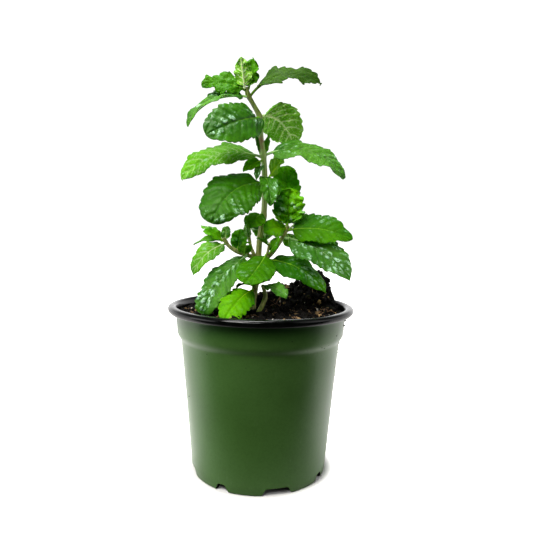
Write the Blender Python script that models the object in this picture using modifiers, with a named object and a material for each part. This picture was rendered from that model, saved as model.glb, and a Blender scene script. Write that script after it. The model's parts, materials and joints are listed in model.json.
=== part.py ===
"""Potted mint plant: a young mint in a round nursery pot.

Metres, +Z up. The pot's axis is the Z axis and the pot stands on z = 0.
The viewer's side is -Y. Tables below are in millimetres and degrees.
"""

import math

import bpy
import numpy as np

MM = 0.001

# Pot
RIM_R = 57.0
POT_H = 102.5
LIP_H = 4.0
COLLAR_TOP_R = 52.4
COLLAR_LOW_R = 51.2
COLLAR_LOW_Z = 86.5
STEP_R = 48.9
STEP_Z = 82.0
FOOT_R = 41.2
WALL = 1.0
FLOOR_Z = 5.5
NOTCH_H = 4.6
NOTCH_WIDTHS = (13.0, 4.4)  # across the top
NOTCH_FLARE = 2.4  # how much wider each side is at the floor
NOTCHES = 8
NOTCH_FIRST = 284.0

# Soil
SOIL_Z = 97.6
SOIL_GAP = 0.3
MOUNDS = (
    # x, y, height, spread along x, spread along y
    (39, 22, 21.5, 10, 9),
    (25, 31, 14, 15, 8),
    (6, 37, 6, 15, 9),
    (-8, -4, 2.5, 14, 12),
)

SEAT = 0.35  # clear distance between a stalk's end and its stem
BLADE = 0.5  # leaf thickness

# Stems: radius at the foot, radius at the top, centre line points (x, y, z)
STEMS = {
    "main_stem": (
        1.9,
        1.2,
        [
            (-5, -2, 90),
            (-5, -2, 104),
            (-3, -1, 118),
            (-2, 0, 130),
            (-1.5, 0, 142),
            (1, 0, 160),
            (1, 0, 180),
            (0, 0, 194),
            (-1.5, 0, 205),
            (-2.5, 0, 216),
            (-6, 0, 223),
            (-9.5, 0, 229),
            (-11, 0, 234),
        ],
    ),
    "right_branch": (1.4, 1.0, [(1.2, 0.5, 130), (6, 0.5, 134), (11, 1, 141), (14.5, 2, 147), (16.2, 2.6, 151.5)]),
    "left_branch": (1.3, 1.0, [(-4.7, 0, 131.5), (-9, 0, 133), (-15, 0.5, 135), (-20, 1, 138), (-24, 2, 143)]),
    "side_shoot": (1.2, 0.8, [(-5.3, 0.5, 134.5), (-7, 2, 139), (-8.5, 4, 148), (-9.5, 5, 157)]),
    "centre_twig": (0.9, 0.7, [(0.3, -2.3, 130.5), (3, -4.5, 133.5), (4.5, -6.5, 141)]),
    "front_shoot_left": (1.5, 1.2, [(-8, -12, 90), (-7.9, -12, 98), (-7.3, -12, 102), (-6, -11, 108), (-3.5, -10, 114.5)]),
    "front_shoot_right": (1.4, 1.1, [(-2.4, -12.5, 90), (-2, -12, 98), (1, -11, 104.5), (2.4, -10, 109.5), (0.6, -10, 116)]),
}

# Leaves: stem, height on it, azimuth (0 is +X, 90 is +Y), rise at the stalk, droop to the tip,
# sway to the tip, stalk, blade length, blade width, fold, roll, twist, cup
LEAVES = {
    "leaf_tip_left": ("main_stem", 233, 182, 26, 45, 0, 1, 25, 19, 12, -50, 0, -0.15),
    "leaf_tip_right": ("main_stem", 233.5, 30, 80, -4, 0, 1, 17, 11, 15, 40, 0, 0),
    "leaf_tip_young": ("main_stem", 233.8, 238, 72, -6, 0, 1, 16, 11, 18, 26, 0, 0),
    "leaf_a_left": ("main_stem", 229, 190, 8, 74, 0, 2, 41, 18, 20, -20, 0, -0.2),
    "leaf_a_right": ("main_stem", 229, 6, 54, 86, 0, 6, 42, 23, 10, 18, 30, -0.1),
    "leaf_b_left": ("main_stem", 216, 240, -9, 24, -42, 1, 41, 27, 5, -58, 0, -0.1),
    "leaf_b_right": ("main_stem", 217, 47, 18, 80, 0, 3, 34, 25, 5, -40, 0, -0.1),
    "leaf_c_left": ("main_stem", 193, 190, 18, 72, 0, 3, 50, 25, 12, -34, 0, -0.2),
    "leaf_c_right": ("main_stem", 194, 355, 24, 80, 0, 4, 50, 23, 12, 34, 0, -0.2),
    "leaf_axil_left": ("main_stem", 195, 150, 70, 0, 0, 1, 13, 7, 20, 0, 0, 0),
    "leaf_axil_right": ("main_stem", 195, 40, 75, 0, 0, 1, 12, 6, 20, 0, 0, 0),
    "leaf_small_pale": ("main_stem", 190.5, 205, -16, 30, 0, 1, 13, 8, 10, -50, 0, 0),
    "leaf_folded": ("main_stem", 188, 241, -33, 40, 0, 1, 11.5, 6, 25, 0, 0, 0),
    "leaf_d": ("main_stem", 179, 33, 55, 0, 0, 4, 20, 14, 8, -60, 0, 0),
    "leaf_e": ("main_stem", 177, 214, 2, 76, 0, 2, 44, 32, 5, -42, 0, -0.2),
    "leaf_f": ("main_stem", 180.5, 279, -10, 70, 0, 1, 26, 11, 15, 0, 0, 0),
    "leaf_small_oval": ("main_stem", 167, 320, 20, 30, 0, 1, 9, 7, 5, 30, 0, 0),
    "leaf_g_tall": ("right_branch", 149.5, 92, 60, -22, -2, 15, 28, 18, 8, 8, 0, 0),
    "leaf_g_crinkled": ("right_branch", 151, 100, 101, 0, 0, 1.8, 22, 19.0, 8, -8, 0, 0),
    "leaf_g_young": ("right_branch", 149.3, 222, 48, 10, 0, 1, 9, 7, 10, -40, 0, 0),
    "leaf_g_left": ("right_branch", 148.6, 218, 19, 50, 0, 1, 16, 12.6, 8, -62, 0, -0.2),
    "leaf_g_back": ("right_branch", 149.0, 44, 40, 58, 0, 7, 16, 10.4, 5, 10, 0, 0),
    "leaf_h_upper": ("right_branch", 149.2, 352, 12, 38, 0, 2, 38, 24, 8, 46, 0, -0.1),
    "leaf_h_lower": ("right_branch", 144.5, 341, -6, 50, 0, 3, 46, 26, 10, 42, 0, -0.1),
    "leaf_i": ("right_branch", 131.5, 346, 0, 56, 0, 2, 40, 22, 8, 32, 0, -0.2),
    "leaf_j": ("centre_twig", 133.3, 243, -35, -15, 0, 1, 30, 22, 6, -15, 0, -0.2),
    "leaf_k": ("left_branch", 133, 214, -28, 40, 0, 2, 44, 21, 10, -20, 0, -0.2),
    "leaf_l": ("front_shoot_left", 112, 232, -10, 40, 0, 2, 28, 17.4, 5, -28, 0, -0.2),
    "leaf_m": ("front_shoot_left", 114.3, 160, 34, 95, 0, 1, 12, 8, 10, 0, 0, 0),
    "leaf_n": ("front_shoot_right", 115, 318, 8, 58, 0, 1, 17, 10, 10, 20, 0, 0),
    "leaf_o_front": ("left_branch", 140, 207, -12, 60, 0, 1, 28, 15, 10, -30, 0, -0.1),
    "leaf_o_back": ("left_branch", 142.4, 148, 13, 44, 0, 2, 21, 10.6, 10, -20, 0, 0),
    "leaf_o_bright": ("left_branch", 142.5, 192, 50, 50, 0, 1, 12, 9, 10, -40, 0, 0),
    "leaf_o_under": ("left_branch", 141.6, 84, 64, 6, 0, 1, 9, 6.2, 10, 0, 0, 0),
    "leaf_o_silver": ("left_branch", 135.1, 68, 72, 8, 10, 1.6, 13, 11, 12, 5, 0, 0),
    "leaf_o_strip": ("side_shoot", 140.5, 244, 5, 20, 0, 1, 8, 4, 10, 0, 0, 0),
    "leaf_o_dark": ("left_branch", 133.5, 275, 35, 10, 0, 1, 11, 9, 10, 0, 0, 0),
    "leaf_o_curl": ("side_shoot", 143, 245, 70, 10, 0, 1, 9, 5, 10, 0, 0, 0),
    "leaf_p": ("main_stem", 158, 236, -8, 50, 0, 1, 15, 13, 8, -20, 0, -0.2),
    "leaf_p_small": ("centre_twig", 140, 215, 35, 20, 0, 1, 8, 7, 10, 0, 0, 0),
    "leaf_q": ("centre_twig", 135.2, 348, 60, 0, 0, 1, 10, 8, 10, 50, 0, 0),
    "leaf_rear_high": ("main_stem", 177, 105, 12, 65, 0, 3, 38, 20, 8, 0, 0, -0.2),
    "leaf_rear_mid": ("main_stem", 150, 85, 12, 50, 0, 3, 34, 20, 8, 0, 0, -0.2),
    "leaf_rear_right": ("right_branch", 146.5, 58, -6, 60, 0, 2, 26, 17, 8, 0, 0, -0.2),
    "leaf_rear_low": ("main_stem", 127, 88, -5, 40, 0, 3, 36, 22, 8, 0, 0, -0.2),
    "leaf_rear_left": ("main_stem", 122, 158, -5, 40, 0, 3, 34, 20, 8, 0, 0, -0.2),
    "leaf_rear_branch": ("left_branch", 143, 132, 40, 40, 0, 3, 20, 11, 8, 0, 0, -0.2),
}


def smooth(points, per=4):
    """A Catmull-Rom line through the points."""
    p = np.array(points, float)
    p = np.vstack([2 * p[0] - p[1], p, 2 * p[-1] - p[-2]])
    out = []
    for a, b, c, d in zip(p, p[1:], p[2:], p[3:]):
        for t in np.arange(per) / per:
            out.append(0.5 * (2 * b + (c - a) * t + (2 * a - 5 * b + 4 * c - d) * t**2 + (3 * b - a - 3 * c + d) * t**3))
    out.append(p[-2])
    return np.array(out)


def stem_at(name, z):
    """Centre, direction and radius of a stem at a height."""
    foot, top, points = STEMS[name]
    line = smooth(points)
    here, above = (np.array([np.interp(q, line[:, 2], line[:, k]) for k in range(3)]) for q in (z, z + 1))
    if z + 1 > line[-1, 2]:
        above = here + line[-1] - line[-2]
    along = (above - here) / np.linalg.norm(above - here)
    return here, along, float(np.interp(z, line[[0, -1], 2], [foot, top]))


def heading(azimuth, rise):
    """Unit direction from two angles in degrees."""
    a, e = math.radians(azimuth), math.radians(rise)
    return np.array([math.cos(e) * math.cos(a), math.cos(e) * math.sin(a), math.sin(e)])


def leaf_base(stem, z, azimuth, rise):
    """Where a stalk ends, just clear of its stem."""
    centre, along, radius = stem_at(stem, z)
    out = heading(azimuth, 0)
    out = out - along * (out @ along)
    out /= np.linalg.norm(out)
    lean = abs(heading(azimuth, rise) @ along)
    return centre + out * (radius + SEAT + 0.3 * lean)


def ovate(t):
    """Half-width of a mint blade along its length, 1 at the widest."""
    a, b = 0.5, 0.75
    return np.maximum(t, 0) ** a * np.maximum(1 - t, 0) ** b / (0.4**a * 0.6**b)


def leaf_grid(spec, stations=9, across=(-1, -0.5, 0, 0.5, 1), stalk_half=0.8, tip_half=0.5):
    """Rows of points over a stalk and its blade, from base to tip."""
    stem, z, azimuth, rise, droop, sway, stalk, length, width, fold, roll, twist, cup = spec
    along = (1 - np.cos(np.linspace(0, np.pi, stations))) / 2
    s = np.concatenate([np.linspace(0, stalk, 2, endpoint=False), stalk + length * along])
    t = np.clip((s - stalk) / length, 0, 1)
    half = np.maximum(stalk_half, width / 2 * ovate(t))
    half[-1] = tip_half
    point = leaf_base(stem, z, azimuth, rise)
    at = 0.0
    rows = []
    for k, where in enumerate(s):
        for q in range(6):
            m = (at + (q + 0.5) * (where - at) / 6) / s[-1]
            point = point + (where - at) / 6 * heading(azimuth + sway * m, rise - droop * m)
        at = where
        m = where / s[-1]
        ahead = heading(azimuth + sway * m, rise - droop * m)
        side = heading(azimuth + sway * m + 90, 0)
        up = np.cross(ahead, side)
        g = math.radians(roll * min(1, 10 * m) + twist * m)
        side, up = side * math.cos(g) + up * math.sin(g), up * math.cos(g) - side * math.sin(g)
        f = math.radians(fold) * min(1, 3 * t[k])
        row = [v * math.cos(f) * side + (abs(v) * math.sin(f) + cup * v * v) * up for v in across]
        rows.append([point + half[k] * r for r in row])
    return np.array(rows)


# End of the plant's geometry


def material(name, colour, roughness, metallic=0.0):
    made = bpy.data.materials.new(name)
    made.use_nodes = True
    shader = made.node_tree.nodes["Principled BSDF"]
    shader.inputs["Base Color"].default_value = (*colour, 1)
    shader.inputs["Roughness"].default_value = roughness
    shader.inputs["Metallic"].default_value = metallic
    made.diffuse_color = (*colour, 1)
    return made


def add(name, data, collection, finish=None):
    obj = bpy.data.objects.new(name, data)
    collection.objects.link(obj)
    if finish:
        data.materials.append(finish)
    return obj


def mesh_from(name, points, faces, edges=()):
    mesh = bpy.data.meshes.new(name)
    mesh.from_pydata([tuple(float(c) * MM for c in p) for p in points], list(edges), faces)
    mesh.validate()
    return mesh


def leaf_object(name, spec, collection, finish):
    """An open blade surface, thickened evenly to both sides."""
    grid = leaf_grid(spec)
    rows, columns = grid.shape[:2]
    faces = []
    for i in range(rows - 1):
        for j in range(columns - 1):
            a = i * columns + j
            faces.append((a, a + columns, a + columns + 1, a + 1))
    obj = add(name, mesh_from(name, grid.reshape(-1, 3), faces), collection, finish)
    thick = obj.modifiers.new("thickness", "SOLIDIFY")
    thick.thickness = BLADE * MM
    thick.offset = 0
    return obj


def stem_curve(name, points, radii, grow=0.0):
    """A round rod along a smooth line, with filled ends."""
    line = smooth(points)
    curve = bpy.data.curves.new(name, "CURVE")
    curve.dimensions = "3D"
    curve.bevel_depth = MM
    curve.bevel_resolution = 2
    curve.use_fill_caps = True
    spline = curve.splines.new("POLY")
    spline.points.add(len(line) - 1)
    for point, place, share in zip(spline.points, line, np.linspace(0, 1, len(line))):
        point.co = (*(place * MM), 1)
        point.radius = radii[0] + (radii[1] - radii[0]) * share + grow
    return curve


def pot_profile():
    """From the floor's centre out, up the inside, over the lip, down the outside and back in."""
    inside = COLLAR_TOP_R - WALL
    return [
        (0, FLOOR_Z + WALL),
        (FOOT_R - 6, FLOOR_Z + WALL),
        (FOOT_R - 3, FLOOR_Z + WALL + 0.8),
        (FOOT_R - 0.9, FLOOR_Z + WALL + 3.5),
        (FOOT_R + 2.6, 42),
        (STEP_R - WALL - 0.9, 72),
        (STEP_R - WALL, STEP_Z + 0.3),
        (STEP_R - WALL + 0.9, STEP_Z + 1.7),
        (COLLAR_LOW_R - WALL, COLLAR_LOW_Z + 0.5),
        (inside, 97.5),
        (inside + 0.3, POT_H - 1.4),
        (inside + 1.0, POT_H - 0.4),
        (inside + 2.0, POT_H),
        (RIM_R - 1.4, POT_H - 0.2),
        (RIM_R - 0.4, POT_H - 0.8),
        (RIM_R, POT_H - 1.8),
        (RIM_R - 0.2, POT_H - 3.2),
        (RIM_R - 0.9, POT_H - LIP_H),
        (RIM_R - 1.8, POT_H - LIP_H + 0.1),
        (RIM_R - 2.4, POT_H - 2.6),
        (COLLAR_TOP_R + 0.7, POT_H - 2.6),
        (COLLAR_TOP_R, POT_H - 3.6),
        (COLLAR_LOW_R, COLLAR_LOW_Z),
        (STEP_R + 1.0, STEP_Z + 1.5),
        (STEP_R, STEP_Z),
        (STEP_R - 1.0, 72),
        (FOOT_R + 3.9, 42),
        (FOOT_R + 0.9, 6),
        (FOOT_R + 0.3, 1.2),
        (FOOT_R - 0.9, 0),
        (FOOT_R - 2.9, 0),
        (FOOT_R - 3.4, 0.9),
        (FOOT_R - 4.2, FLOOR_Z - 0.8),
        (FOOT_R - 5.0, FLOOR_Z),
        (0, FLOOR_Z),
    ]


def turned(name, profile, collection, finish, steps=72):
    """A profile in the XZ plane turned once about the Z axis."""
    points = [(x, 0, z) for x, z in profile]
    edges = [(i, i + 1) for i in range(len(points) - 1)]
    obj = add(name, mesh_from(name, points, [], edges), collection, finish)
    screw = obj.modifiers.new("turn", "SCREW")
    screw.steps = steps
    screw.render_steps = steps
    screw.use_merge_vertices = True
    screw.merge_threshold = 0.00005
    screw.use_normal_calculate = True
    return obj


def notch_cutter(index, collection):
    """A block across the foot ring, wider at the floor than at its top."""
    width = NOTCH_WIDTHS[index % 2]
    angle = math.radians(NOTCH_FIRST + 360 / NOTCHES * index)
    half, low = width / 2, width / 2 + NOTCH_FLARE * (NOTCH_H + 3) / NOTCH_H
    outline = [(-low, -3), (low, -3), (half + 0.5, NOTCH_H - 0.7), (half - 0.3, NOTCH_H - 0.15), (half - 1.2, NOTCH_H)]
    outline += [(-x, z) for x, z in outline[:1:-1]]
    near = [(x, -5, z) for x, z in outline]
    far = [(x, 5, z) for x, z in outline]
    n = len(outline)
    faces = [tuple(range(n)), tuple(range(2 * n - 1, n - 1, -1))]
    faces += [(i, n + i, n + (i + 1) % n, (i + 1) % n) for i in range(n)]
    obj = add(f"notch_{index}", mesh_from(f"notch_{index}", near + far, faces), collection)
    obj.location = (FOOT_R * MM * math.cos(angle), FOOT_R * MM * math.sin(angle), 0)
    obj.rotation_euler = (0, 0, angle + math.pi / 2)
    return obj


def soil_top(x, y):
    """Height of the soil's surface."""
    z = SOIL_Z + 0.5 * math.sin(0.31 * x + 1) * math.cos(0.27 * y) + 0.35 * math.sin(0.73 * x - 0.61 * y)
    for cx, cy, high, sx, sy in MOUNDS:
        z += high * math.exp(-(((x - cx) / sx) ** 2) - ((y - cy) / sy) ** 2)
    return z


def soil_mesh(rings=14, spokes=60):
    """A closed plug of soil: its surface, its side down the pot's wall, and its underside."""
    low_r = FOOT_R - 3.6
    mid_r = FOOT_R - WALL - 0.4
    top_r = COLLAR_TOP_R - WALL - SOIL_GAP - 0.3
    neck_r = STEP_R - WALL - SOIL_GAP - 0.9
    levels = [(neck_r + 0.3, STEP_Z + 0.2), (neck_r - 0.3, 72), (mid_r + 3.2, 42)]
    levels += [(mid_r - 0.2, FLOOR_Z + WALL + 4), (low_r - 1.5, FLOOR_Z + WALL + SOIL_GAP + 0.6)]
    points = [(0, 0, soil_top(0, 0))]
    for k in range(1, rings + 1):
        r = top_r * k / rings
        for q in range(spokes):
            a = math.tau * q / spokes
            points.append((r * math.cos(a), r * math.sin(a), soil_top(r * math.cos(a), r * math.sin(a))))
    for r, z in [(COLLAR_LOW_R - WALL - SOIL_GAP - 0.2, COLLAR_LOW_Z)] + levels:
        points += [(r * math.cos(math.tau * q / spokes), r * math.sin(math.tau * q / spokes), z) for q in range(spokes)]
    points.append((0, 0, FLOOR_Z + WALL + SOIL_GAP + 0.6))
    last = len(points) - 1
    rows = rings + len(levels) + 1
    faces = [(0, 1 + q, 1 + (q + 1) % spokes) for q in range(spokes)]
    for k in range(rows - 1):
        a, b = 1 + k * spokes, 1 + (k + 1) * spokes
        faces += [(a + q, b + q, b + (q + 1) % spokes, a + (q + 1) % spokes) for q in range(spokes)]
    end = 1 + (rows - 1) * spokes
    faces += [(last, end + (q + 1) % spokes, end + q) for q in range(spokes)]
    return mesh_from("soil", points, faces)


def cut(obj, cutters):
    tool = obj.modifiers.new("cut", "BOOLEAN")
    tool.operation = "DIFFERENCE"
    tool.solver = "EXACT"
    tool.operand_type = "COLLECTION"
    tool.collection = cutters


def group(name, parent):
    made = bpy.data.collections.new(name)
    parent.children.link(made)
    return made


def hide(collection):
    collection.hide_render = True
    for obj in collection.objects:
        obj.hide_render = True
        obj.display_type = "WIRE"


def main():
    for obj in list(bpy.data.objects):
        bpy.data.objects.remove(obj)
    root = bpy.context.scene.collection
    plant = group("potted_mint", root)
    notches = group("notch_cutters", root)
    sockets = group("socket_cutters", root)

    pot_green = material("pot_green", (0.10, 0.19, 0.09), 0.35)
    earth = material("potting_mix", (0.03, 0.018, 0.01), 0.95)
    stem_green = material("stem_green", (0.26, 0.30, 0.09), 0.5)
    leaf_green = material("leaf_green", (0.07, 0.22, 0.03), 0.45)

    pot = turned("pot", pot_profile(), plant, pot_green)
    for index in range(NOTCHES):
        notch_cutter(index, notches)
    cut(pot, notches)

    soil = add("soil", soil_mesh(), plant, earth)
    for name, (foot, top, points) in STEMS.items():
        add(name, stem_curve(name, points, (foot, top)), plant, stem_green)
        if points[0][2] < SOIL_Z:
            lower = (points[0][0], points[0][1], points[0][2] - 0.5)
            upper = [p for p in points if p[2] < 119]
            shape = stem_curve(name + "_socket", [lower] + upper[1:], (foot, foot), 0.4)
            temporary = bpy.data.objects.new(name + "_socket", shape)
            mesh = bpy.data.meshes.new_from_object(temporary)
            bpy.data.objects.remove(temporary)
            weld = add(name + "_socket", mesh, sockets).modifiers.new("weld", "WELD")
            weld.merge_threshold = 0.00001
    cut(soil, sockets)

    for name, spec in LEAVES.items():
        leaf_object(name, spec, plant, leaf_green)

    hide(notches)
    hide(sockets)


main()
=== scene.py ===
"""Potted mint plant: the visual model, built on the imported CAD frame.

Metres, +Z up. Tables are in millimetres and degrees.
"""

import json
import math
from collections import namedtuple

import bmesh
import bpy
import numpy as np
from mathutils import Matrix, Vector, noise

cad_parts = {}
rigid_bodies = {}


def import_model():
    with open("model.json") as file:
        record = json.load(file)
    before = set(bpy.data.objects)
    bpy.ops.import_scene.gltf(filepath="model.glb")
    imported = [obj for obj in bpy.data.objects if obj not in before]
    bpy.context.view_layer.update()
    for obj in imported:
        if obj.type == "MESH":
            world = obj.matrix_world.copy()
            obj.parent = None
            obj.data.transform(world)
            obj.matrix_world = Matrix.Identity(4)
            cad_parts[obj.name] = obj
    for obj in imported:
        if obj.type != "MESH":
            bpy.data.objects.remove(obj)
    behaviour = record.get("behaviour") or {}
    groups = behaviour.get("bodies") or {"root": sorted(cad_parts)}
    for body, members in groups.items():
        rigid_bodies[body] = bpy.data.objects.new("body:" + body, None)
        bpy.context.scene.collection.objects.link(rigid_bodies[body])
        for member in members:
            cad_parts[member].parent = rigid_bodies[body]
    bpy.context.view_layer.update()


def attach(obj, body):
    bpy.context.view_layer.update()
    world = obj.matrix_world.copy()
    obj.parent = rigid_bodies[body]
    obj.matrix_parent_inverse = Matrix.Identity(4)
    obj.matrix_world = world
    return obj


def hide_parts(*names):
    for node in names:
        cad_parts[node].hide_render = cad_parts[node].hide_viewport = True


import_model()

MM = 0.001

# Pot
RIM_R = 57.0
POT_H = 102.5
LIP_H = 4.0
COLLAR_TOP_R = 52.4
COLLAR_TOP_Z = 96.2
COLLAR_LOW_R = 51.2
COLLAR_LOW_Z = 86.5
STEP_R = 48.9
STEP_Z = 82.0
FOOT_R = 41.2
WALL = 1.0
FLOOR_Z = 5.5
NOTCH_H = 4.6
NOTCH_WIDTHS = (13.0, 4.4)  # across the top
NOTCH_FLARE = 2.4  # how much wider each side is at the floor
NOTCHES = 8
NOTCH_FIRST = 284.0
GREEN, BLACK = 0, 1  # material slots

# Soil
SOIL_Z = 97.6
SOIL_R = COLLAR_TOP_R - WALL - 0.5
PLUG_R = STEP_R - WALL - 1.8
PLUG_Z = 70.0
MOUNDS = (
    # x, y, height, spread along x, spread along y
    (39, 22, 21.5, 10, 9),
    (25, 31, 14, 15, 8),
    (6, 37, 6, 15, 9),
    (-8, -4, 2.5, 14, 12),
)

SEAT = 0.35  # clear distance between a stalk's end and its stem
SHOOT_FOOT = 120.0  # a stem that starts higher than this is a side shoot
SHOOT_ROOT = 2.2  # how far a side shoot runs into its stem

# Stems: radius at the foot, radius at the top, centre line points (x, y, z)
STEMS = {
    "main_stem": (
        1.9,
        1.2,
        [(-5, -2, 90), (-5, -2, 104), (-3, -1, 118), (-2, 0, 130), (-1.5, 0, 142), (1, 0, 160), (1, 0, 180)]
        + [(0, 0, 194), (-1.5, 0, 205), (-2.5, 0, 216), (-6, 0, 223), (-9.5, 0, 229), (-11, 0, 234)],
    ),
    "right_branch": (
        1.4,
        1.0,
        [(1.2, 0.5, 130), (6, 0.5, 134), (11, 1, 141), (14.5, 2, 147), (16.2, 2.6, 151.5)],
    ),
    "left_branch": (1.3, 1.0, [(-4.7, 0, 131.5), (-9, 0, 133), (-15, 0.5, 135), (-20, 1, 138), (-24, 2, 143)]),
    "side_shoot": (1.2, 0.8, [(-5.3, 0.5, 134.5), (-7, 2, 139), (-8.5, 4, 148), (-9.5, 5, 157)]),
    "centre_twig": (0.9, 0.7, [(0.3, -2.3, 130.5), (3, -4.5, 133.5), (4.5, -6.5, 141)]),
    "front_shoot_left": (
        1.5,
        1.2,
        [(-8, -12, 90), (-7.9, -12, 98), (-7.3, -12, 102), (-6, -11, 108), (-3.5, -10, 114.5)],
    ),
    "front_shoot_right": (
        1.4,
        1.1,
        [(-2.4, -12.5, 90), (-2, -12, 98), (1, -11, 104.5), (2.4, -10, 109.5), (0.6, -10, 116)],
    ),
}

# Heights at which the stems swell
JOINTS = {
    "main_stem": (98, 130, 157, 179, 193.5, 217, 229),
    "right_branch": (145, 152),
    "left_branch": (135, 141),
}

# Azimuth 0 is +X and 90 is +Y. Rise is the stalk's at the stem; droop and sway are its turn by the tip.
Leaf = namedtuple("Leaf", "stem z azimuth rise droop sway stalk length width fold roll twist cup")
LEAVES = {
    "leaf_tip_left": ("main_stem", 233, 182, 26, 45, 0, 1, 25, 19, 12, -50, 0, -0.15),
    "leaf_tip_right": ("main_stem", 233.5, 30, 80, -4, 0, 1, 17, 11, 15, 40, 0, 0),
    "leaf_tip_young": ("main_stem", 233.8, 238, 72, -6, 0, 1, 16, 11, 18, 26, 0, 0),
    "leaf_a_left": ("main_stem", 229, 190, 8, 74, 0, 2, 41, 18, 20, -20, 0, -0.2),
    "leaf_a_right": ("main_stem", 229, 6, 54, 86, 0, 6, 42, 23, 10, 18, 30, -0.1),
    "leaf_b_left": ("main_stem", 216, 240, -9, 24, -42, 1, 41, 27, 5, -58, 0, -0.1),
    "leaf_b_right": ("main_stem", 217, 47, 18, 80, 0, 3, 34, 25, 5, -40, 0, -0.1),
    "leaf_c_left": ("main_stem", 193, 190, 18, 72, 0, 3, 50, 25, 12, -34, 0, -0.2),
    "leaf_c_right": ("main_stem", 194, 355, 24, 80, 0, 4, 50, 23, 12, 34, 0, -0.2),
    "leaf_axil_left": ("main_stem", 195, 150, 70, 0, 0, 1, 13, 7, 20, 0, 0, 0),
    "leaf_axil_right": ("main_stem", 195, 40, 75, 0, 0, 1, 12, 6, 20, 0, 0, 0),
    "leaf_small_pale": ("main_stem", 190.5, 205, -16, 30, 0, 1, 13, 8, 10, -50, 0, 0),
    "leaf_folded": ("main_stem", 188, 241, -33, 40, 0, 1, 11.5, 6, 25, 0, 0, 0),
    "leaf_d": ("main_stem", 179, 33, 55, 0, 0, 4, 20, 14, 8, -60, 0, 0),
    "leaf_e": ("main_stem", 177, 214, 2, 76, 0, 2, 44, 32, 5, -42, 0, -0.2),
    "leaf_f": ("main_stem", 180.5, 279, -10, 70, 0, 1, 26, 11, 15, 0, 0, 0),
    "leaf_small_oval": ("main_stem", 167, 320, 20, 30, 0, 1, 9, 7, 5, 30, 0, 0),
    "leaf_g_tall": ("right_branch", 149.5, 92, 60, -22, -2, 15, 28, 18, 8, 8, 0, 0),
    "leaf_g_crinkled": ("right_branch", 151, 100, 101, 0, 0, 1.8, 22, 19.0, 8, -8, 0, 0),
    "leaf_g_young": ("right_branch", 149.3, 222, 48, 10, 0, 1, 9, 7, 10, -40, 0, 0),
    "leaf_g_left": ("right_branch", 148.6, 218, 19, 50, 0, 1, 16, 12.6, 8, -62, 0, -0.2),
    "leaf_g_back": ("right_branch", 149.0, 44, 40, 58, 0, 7, 16, 10.4, 5, 10, 0, 0),
    "leaf_h_upper": ("right_branch", 149.2, 352, 12, 38, 0, 2, 38, 24, 8, 46, 0, -0.1),
    "leaf_h_lower": ("right_branch", 144.5, 341, -6, 50, 0, 3, 46, 26, 10, 42, 0, -0.1),
    "leaf_i": ("right_branch", 131.5, 346, 0, 56, 0, 2, 40, 22, 8, 32, 0, -0.2),
    "leaf_j": ("centre_twig", 133.3, 243, -35, -15, 0, 1, 30, 22, 6, -15, 0, -0.2),
    "leaf_k": ("left_branch", 133, 214, -28, 40, 0, 2, 44, 21, 10, -20, 0, -0.2),
    "leaf_l": ("front_shoot_left", 112, 232, -10, 40, 0, 2, 28, 17.4, 5, -28, 0, -0.2),
    "leaf_m": ("front_shoot_left", 114.3, 160, 34, 95, 0, 1, 12, 8, 10, 0, 0, 0),
    "leaf_n": ("front_shoot_right", 115, 318, 8, 58, 0, 1, 17, 10, 10, 20, 0, 0),
    "leaf_o_front": ("left_branch", 140, 207, -12, 60, 0, 1, 28, 15, 10, -30, 0, -0.1),
    "leaf_o_back": ("left_branch", 142.4, 148, 13, 44, 0, 2, 21, 10.6, 10, -20, 0, 0),
    "leaf_o_bright": ("left_branch", 142.5, 192, 50, 50, 0, 1, 12, 9, 10, -40, 0, 0),
    "leaf_o_under": ("left_branch", 141.6, 84, 64, 6, 0, 1, 9, 6.2, 10, 0, 0, 0),
    "leaf_o_silver": ("left_branch", 135.1, 68, 72, 8, 10, 1.6, 13, 11, 12, 5, 0, 0),
    "leaf_o_strip": ("side_shoot", 140.5, 244, 5, 20, 0, 1, 8, 4, 10, 0, 0, 0),
    "leaf_o_dark": ("left_branch", 133.5, 275, 35, 10, 0, 1, 11, 9, 10, 0, 0, 0),
    "leaf_o_curl": ("side_shoot", 143, 245, 70, 10, 0, 1, 9, 5, 10, 0, 0, 0),
    "leaf_p": ("main_stem", 158, 236, -8, 50, 0, 1, 15, 13, 8, -20, 0, -0.2),
    "leaf_p_small": ("centre_twig", 140, 215, 35, 20, 0, 1, 8, 7, 10, 0, 0, 0),
    "leaf_q": ("centre_twig", 135.2, 348, 60, 0, 0, 1, 10, 8, 10, 50, 0, 0),
    "leaf_rear_high": ("main_stem", 177, 105, 12, 65, 0, 3, 38, 20, 8, 0, 0, -0.2),
    "leaf_rear_mid": ("main_stem", 150, 85, 12, 50, 0, 3, 34, 20, 8, 0, 0, -0.2),
    "leaf_rear_right": ("right_branch", 146.5, 58, -6, 60, 0, 2, 26, 17, 8, 0, 0, -0.2),
    "leaf_rear_low": ("main_stem", 127, 88, -5, 40, 0, 3, 36, 22, 8, 0, 0, -0.2),
    "leaf_rear_left": ("main_stem", 122, 158, -5, 40, 0, 3, 34, 20, 8, 0, 0, -0.2),
    "leaf_rear_branch": ("left_branch", 143, 132, 40, 40, 0, 3, 20, 11, 8, 0, 0, -0.2),
}


def smooth(points, per=4):
    """A Catmull-Rom line through the points."""
    p = np.array(points, float)
    p = np.vstack([2 * p[0] - p[1], p, 2 * p[-1] - p[-2]])
    out = []
    for a, b, c, d in zip(p, p[1:], p[2:], p[3:]):
        square, cube = 2 * a - 5 * b + 4 * c - d, 3 * b - a - 3 * c + d
        for t in np.arange(per) / per:
            out.append(0.5 * (2 * b + (c - a) * t + square * t**2 + cube * t**3))
    out.append(p[-2])
    return np.array(out)


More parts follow.
